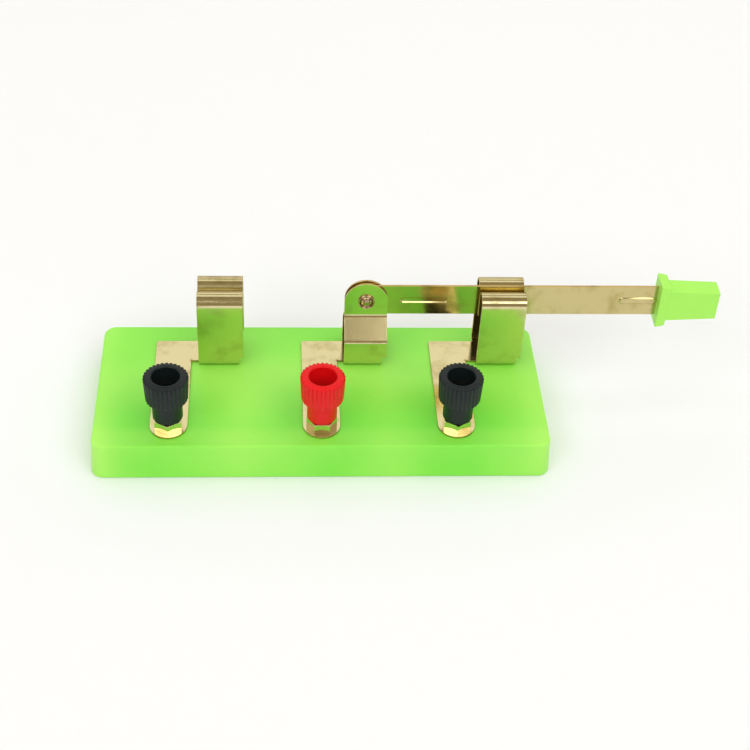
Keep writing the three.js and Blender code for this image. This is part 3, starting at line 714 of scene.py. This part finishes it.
# ---- pivot rivet ------------------------------------------------------------------------
# A semi-tubular brass rivet through both clevis plates and the blade: a raised ring round a
# low dome on each side.

PIVOT_SHANK = 0.0013
PIVOT_DOME = 0.00145
PIVOT_RING = 0.00026
PIVOT_GROOVE = 0.0001

pivot_brass, tree, shader = new_material("pivot_brass", Metallic=1.0)
lay_skin(pivot_brass, tree, shader, metal_skin, 0.2, 0.00003,
         Bright=(0.50, 0.37, 0.23, 1), Stained=(0.20, 0.12, 0.07, 1), Stain=0.8, Gloss=0.14,
         Lines=(1, 1, 1))

ring = (pivot_high.x - pivot_low.x) / 2
reach = JAW_FLAP_GAP + SHEET / 2 + SEAT_PLAY
proud = (pivot_high.y - pivot_low.y) / 2 - reach
ring_profile = [(ring - PIVOT_RING * (1 - math.cos(a)), reach + 0.75 * proud * math.sin(a))
                for a in (math.pi * i / 8 for i in range(9))]
face = [(PIVOT_SHANK, reach), *ring_profile[:-1], (PIVOT_DOME + PIVOT_GROOVE, reach + 0.15 * proud),
        *dome(PIVOT_DOME, reach + 0.1 * proud, 0.9 * proud)]
profile = [(r, -z) for r, z in reversed(face)] + face
pivot_rivet = turn_on_lathe("pivot_rivet_turned", profile, pivot, 72)
reopen()
bpy.ops.mesh.select_all(action="SELECT")
bpy.ops.transform.rotate(value=math.pi / 2, orient_axis="X", center_override=pivot)
close()
smooth(pivot_rivet, 60)
fit(pivot_rivet, pivot_brass, "switch_base", "pivot_rivet")

# ---- terminal screws --------------------------------------------------------------------
# A slotted M3.5 brass screw comes up through the base under each post; its thread takes the
# nut and the cap.

THREAD_PITCH = 0.0006
THREAD_DEPTH = 0.00028
SCREW_SLOT = 0.001
SCREW_HEAD = 0.002
SCREW_CHAMFER = 0.0004
SCREW_PLAY = 0.0002

post_brass, tree, shader = new_material("post_brass", Metallic=1.0)
lay_skin(post_brass, tree, shader, metal_skin, 0.10, 0.00002,
         Bright=(0.86, 0.74, 0.44, 1), Stained=(0.50, 0.36, 0.14, 1), Stain=0.3, Gloss=0.08,
         Lines=(1, 1, 0.2))

for side in SIDES:
    low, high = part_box(f"stud_{side}")
    head = (high.x - low.x) / 2
    shank = STUD_HOLE - SCREW_PLAY
    head_top = low.z + SCREW_HEAD
    tip = high.z - SCREW_CHAMFER
    profile = [(0, low.z), (head - SCREW_CHAMFER, low.z), (head, low.z + SCREW_CHAMFER),
               (head, head_top), (shank, head_top)]
    turns = int((tip - head_top) / THREAD_PITCH)
    start = tip - turns * THREAD_PITCH
    for i in range(turns):
        profile += [(shank, start + i * THREAD_PITCH),
                    (shank - THREAD_DEPTH, start + (i + 0.5) * THREAD_PITCH)]
    profile += [(shank, tip), (shank - SCREW_CHAMFER, high.z), (0, high.z)]
    screw = turn_on_lathe(f"{side}_terminal_screw", profile, (post_x[side], post_y, 0), 64)
    slot_cutter = add("cube", "slot_cutter", size=1, location=(post_x[side], post_y, low.z),
                      scale=(3 * head, SCREW_SLOT, SCREW_HEAD))
    close()
    shape_with(screw, slot_cutter, "DIFFERENCE")
    smooth(screw, 35)
    fit(screw, post_brass, "switch_base", f"stud_{side}")

# ---- washers ----------------------------------------------------------------------------
# A plain zinc-plated steel washer under each screw's head, punched from strip. It spreads
# the load on the thin plate of the base.

WASHER_EDGE = 0.0001

washer_steel, tree, shader = new_material("washer_steel", Metallic=1.0)
lay_skin(washer_steel, tree, shader, metal_skin, 0.15, 0.00002,
         Bright=(0.62, 0.63, 0.64, 1), Stained=(0.36, 0.36, 0.35, 1), Stain=0.5, Gloss=0.26,
         Lines=(1, 1, 1))

for side in SIDES:
    low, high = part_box(f"washer_{side}")
    outer = (high.x - low.x) / 2
    ring = [(STUD_HOLE, low.z), (outer, low.z), (outer, high.z), (STUD_HOLE, high.z), (STUD_HOLE, low.z)]
    washer = turn_on_lathe(f"{side}_plain_washer", ring, (post_x[side], post_y, 0), 96)
    round_over(washer, WASHER_EDGE, 3, 50)
    smooth(washer)
    fit(washer, washer_steel, "switch_base", f"washer_{side}")

# ---- hexagon nuts -----------------------------------------------------------------------
# A bright brass nut clamps the foot strip; the outer two stand with a corner to the front
# and the centre one with a flat.

NUT_FLATS = 0.0064
NUT_EDGE = 0.00009
CROWN_RISE = 0.15
CROWN_MARGIN = 0.001
TAP_DEPTH = 0.01

for side in SIDES:
    low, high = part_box(f"hex_nut_{side}")
    corner = NUT_FLATS / math.sqrt(3)
    flat_front = (high.x - low.x) > (high.y - low.y)
    nut = add("cylinder", f"{side}_hexagon_nut", vertices=6, radius=corner, depth=high.z - low.z,
              location=(post_x[side], post_y, (low.z + high.z) / 2),
              rotation=(0, 0, math.pi / 6 if flat_front else 0))
    close()
    rise = corner - NUT_FLATS / 2
    crown_low = low.z - CROWN_MARGIN
    crown_high = high.z + rise * CROWN_RISE
    crown = [(0, crown_low), (2 * corner, crown_low), (2 * corner, high.z - rise),
             (corner + rise, high.z - rise), (NUT_FLATS / 2, crown_high), (0, crown_high)]
    shape_with(nut, turn_on_lathe("crown", crown, (post_x[side], post_y, 0), 96), "INTERSECT")
    drill(nut, (post_x[side], post_y, high.z), STUD_HOLE, TAP_DEPTH)
    round_over(nut, NUT_EDGE, 3, 25)
    smooth(nut, 30)
    fit(nut, post_brass, "switch_base", f"hex_nut_{side}")

# ---- inserts ----------------------------------------------------------------------------
# A threaded brass sleeve, turned from bar and moulded into each cap, runs on the terminal
# screw.

INSERT_WALL = 0.00065
INSERT_THREAD_DEPTH = 0.0002

for side in SIDES:
    low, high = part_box(f"insert_{side}")
    outer = (high.x - low.x) / 2
    bore = outer - INSERT_WALL
    turns = int((high.z - low.z) / THREAD_PITCH)
    step = (high.z - low.z) / turns
    profile = [(bore, low.z), (outer, low.z), (outer, high.z), (bore, high.z)]
    for i in range(turns):
        profile += [(bore + INSERT_THREAD_DEPTH, high.z - (i + 0.5) * step), (bore, high.z - (i + 1) * step)]
    insert = turn_on_lathe(f"{side}_thread_insert", profile, (post_x[side], post_y, 0), 64)
    smooth(insert, 35)
    fit(insert, post_brass, f"thread_{side}", f"insert_{side}")

# ---- caps -------------------------------------------------------------------------------
# Screw caps moulded in satin plastic: a knurled head with an open socket for a lead's plug,
# and a plain skirt that clamps a wire on the nut.

CAP_SKIRT = 0.0036
CAP_SKIRT_HEIGHT = 0.0057
CAP_TOP = 0.00535
CAP_BOTTOM = 0.00505
CAP_TEETH = 30
CAP_TOOTH_STEPS = 6
CAP_GROOVES = {0: 0.00042, 1: 0.00024, 5: 0.00024}
CAP_GROOVE_FADE = 0.2
CAP_SHOULDER = 0.0005
CAP_SOCKET = 0.0033
CAP_SOCKET_DEPTH = 0.0068
CAP_LIP = 0.00045
SKIRT_EDGE = 0.0002
KNURL_EDGE_IN = 0.00035
KNURL_EDGE_UP = 0.0003


def cap_plastic(name, light, deep):
    material, tree, shader = new_material(name, Specular_IOR_Level=0.28)
    lay_skin(material, tree, shader, plastic_skin, 0.35, 0.00003, Light=light, Deep=deep, Gloss=0.38)
    return material


cap_black = cap_plastic("cap_black", (0.009, 0.016, 0.017, 1), (0.005, 0.009, 0.010, 1))
cap_red = cap_plastic("cap_red", (0.80, 0.004, 0.008, 1), (0.66, 0.003, 0.006, 1))

for side in SIDES:
    low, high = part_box(f"cap_{side}")
    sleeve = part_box(f"insert_{side}")
    bore = (sleeve[1].x - sleeve[0].x) / 2 + SEAT_PLAY
    floor_z = high.z - CAP_SOCKET_DEPTH
    knurl_z = low.z + CAP_SKIRT_HEIGHT
    profile = [
        (bore, low.z), (CAP_SKIRT - SKIRT_EDGE, low.z), (CAP_SKIRT, low.z + SKIRT_EDGE),
        (CAP_SKIRT, knurl_z), (CAP_BOTTOM - KNURL_EDGE_IN, knurl_z), (CAP_BOTTOM, knurl_z + KNURL_EDGE_UP),
        (CAP_TOP, high.z - CAP_SHOULDER), (CAP_TOP - KNURL_EDGE_IN, high.z - 0.00025),
        (CAP_SOCKET + 2.6 * CAP_LIP, high.z - 0.0002), (CAP_SOCKET + 1.9 * CAP_LIP, high.z - 0.00017),
        (CAP_SOCKET + 1.5 * CAP_LIP, high.z - 0.00002), (CAP_SOCKET + CAP_LIP, high.z),
        (CAP_SOCKET + 0.5 * CAP_LIP, high.z - 0.00008),
        (CAP_SOCKET + 0.15 * CAP_LIP, high.z - 0.5 * CAP_LIP),
        (CAP_SOCKET, high.z - CAP_LIP), (CAP_SOCKET, floor_z), (bore, floor_z), (bore, low.z)]
    cap = turn_on_lathe(f"{side}_screw_cap", profile, (post_x[side], post_y, 0), CAP_TEETH * CAP_TOOTH_STEPS)
    reopen()
    axis = Vector((post_x[side], post_y, 0))
    for column, depth in CAP_GROOVES.items():
        for at_top, fade in ((True, 1), (False, CAP_GROOVE_FADE)):
            def in_groove(p, vert):
                away = p - axis
                around = math.atan2(away.y, away.x) / (2 * math.pi) * CAP_TEETH * CAP_TOOTH_STEPS
                return (round(around) % CAP_TOOTH_STEPS == column and away.xy.length > CAP_TOP - CAP_SHOULDER
                        and (p.z > high.z - 2 * CAP_SHOULDER) == at_top)

            pick("verts", in_groove)
            share = 1 - fade * depth / CAP_TOP
            scale_about((axis.x, axis.y, high.z), share, share, 1)
    close()
    smooth(cap, 50)
    fit(cap, cap_red if side == "centre" else cap_black, f"knob_{side}", f"cap_{side}")

# ---- stage ------------------------------------------------------------------------------
# A plain pale floor and a soft studio surround: dim in front, pale above and behind, with two
# soft boxes. One large lamp hangs overhead and is kept out of the brass's reflections.

CAMERA_PLACE = (-0.01165, -0.28317, 0.25917)
CAMERA_PITCH = math.radians(40.93)
CAMERA_YAW = math.radians(5.05)
CAMERA_ROLL = math.radians(3.30)
CAMERA_LENS = 72.70

floor = add("plane", "floor", size=6, location=(0, 0, -0.0001))
close()
white_floor, tree, shader = new_material("white_floor", Roughness=0.9, Specular_IOR_Level=0.1)
mottle = noise(tree, node(tree, "TexCoord").outputs["Object"], 0.3, 2.0)
paper = blend_colours(tree, mottle, (0.86, 0.88, 0.93), (0.88, 0.90, 0.95))
tree.links.new(paper, shader.inputs["Base Color"])
floor.data.materials.append(white_floor)

world = bpy.data.worlds.new("studio")
world.use_nodes = True
bpy.context.scene.world = world
tree = world.node_tree
direction = node(tree, "TexCoord").outputs["Generated"]
parts = node(tree, "SeparateXYZ")
tree.links.new(direction, parts.inputs[0])
ahead = sums(tree, "MULTIPLY", parts.outputs["Y"], -1.0)
sideways = sums(tree, "ABSOLUTE", parts.outputs["X"], 0.0)
up = parts.outputs["Z"]
height = sums(tree, "ARCSINE", up, 0.0)
# From the front over the top to the back: 0 at the front horizon and pi at the back one.
over = sums(tree, "ARCTAN2", up, ahead)


def between(value, a, b, c, d):
    """1 between b and c, falling softly to 0 at a and d."""
    return sums(tree, "MULTIPLY", ramp(tree, value, a, b), ramp(tree, value, c, d, 1.0, 0.0))


def deg(*angles):
    return [math.radians(a) for a in angles]


dim_front = (0.34, 0.28, 0.19)
room = blend_colours(tree, ramp(tree, over, *deg(96, 104)), dim_front, (1.08, 1.05, 0.98))
back_wall = between(over, *deg(148, 156, 178, 180))
room = blend_colours(tree, back_wall, room, (0.62, 0.57, 0.47))
gap = between(over, *deg(116, 119, 124, 128))
room = blend_colours(tree, gap, room, (0.40, 0.34, 0.25))
box_sides = between(sideways, 0.10, 0.12, 0.66, 0.74)
boxes = sums(tree, "MULTIPLY", box_sides, between(height, *deg(22, 26, 52, 58)))
boxes = sums(tree, "MULTIPLY", boxes, ramp(tree, ahead, 0.0, 0.15))
room = blend_colours(tree, boxes, room, (2.8, 2.8, 2.7))
background = tree.nodes["Background"]
background.inputs["Strength"].default_value = 1.0
tree.links.new(room, background.inputs["Color"])

lamp_data = bpy.data.lights.new("overhead", "AREA")
lamp_data.shape = "DISK"
lamp_data.size = 0.9
lamp_data.energy = 2.45
lamp_data.color = (0.96, 0.98, 1.0)
lamp = bpy.data.objects.new("overhead", lamp_data)
bpy.context.scene.collection.objects.link(lamp)
lamp.location = (0.1, -0.1, 1.1)
lamp.visible_glossy = False

camera = bpy.data.objects.new("camera", bpy.data.cameras.new("camera"))
bpy.context.scene.collection.objects.link(camera)
camera.data.lens = CAMERA_LENS
camera.data.clip_start = 0.01
turn = Matrix.Rotation(-CAMERA_YAW, 4, "Z") @ Matrix.Rotation(math.pi / 2 - CAMERA_PITCH, 4, "X")
camera.matrix_world = Matrix.Translation(CAMERA_PLACE) @ turn @ Matrix.Rotation(CAMERA_ROLL, 4, "Z")
bpy.context.scene.camera = camera
bpy.context.scene.view_settings.view_transform = "Standard"
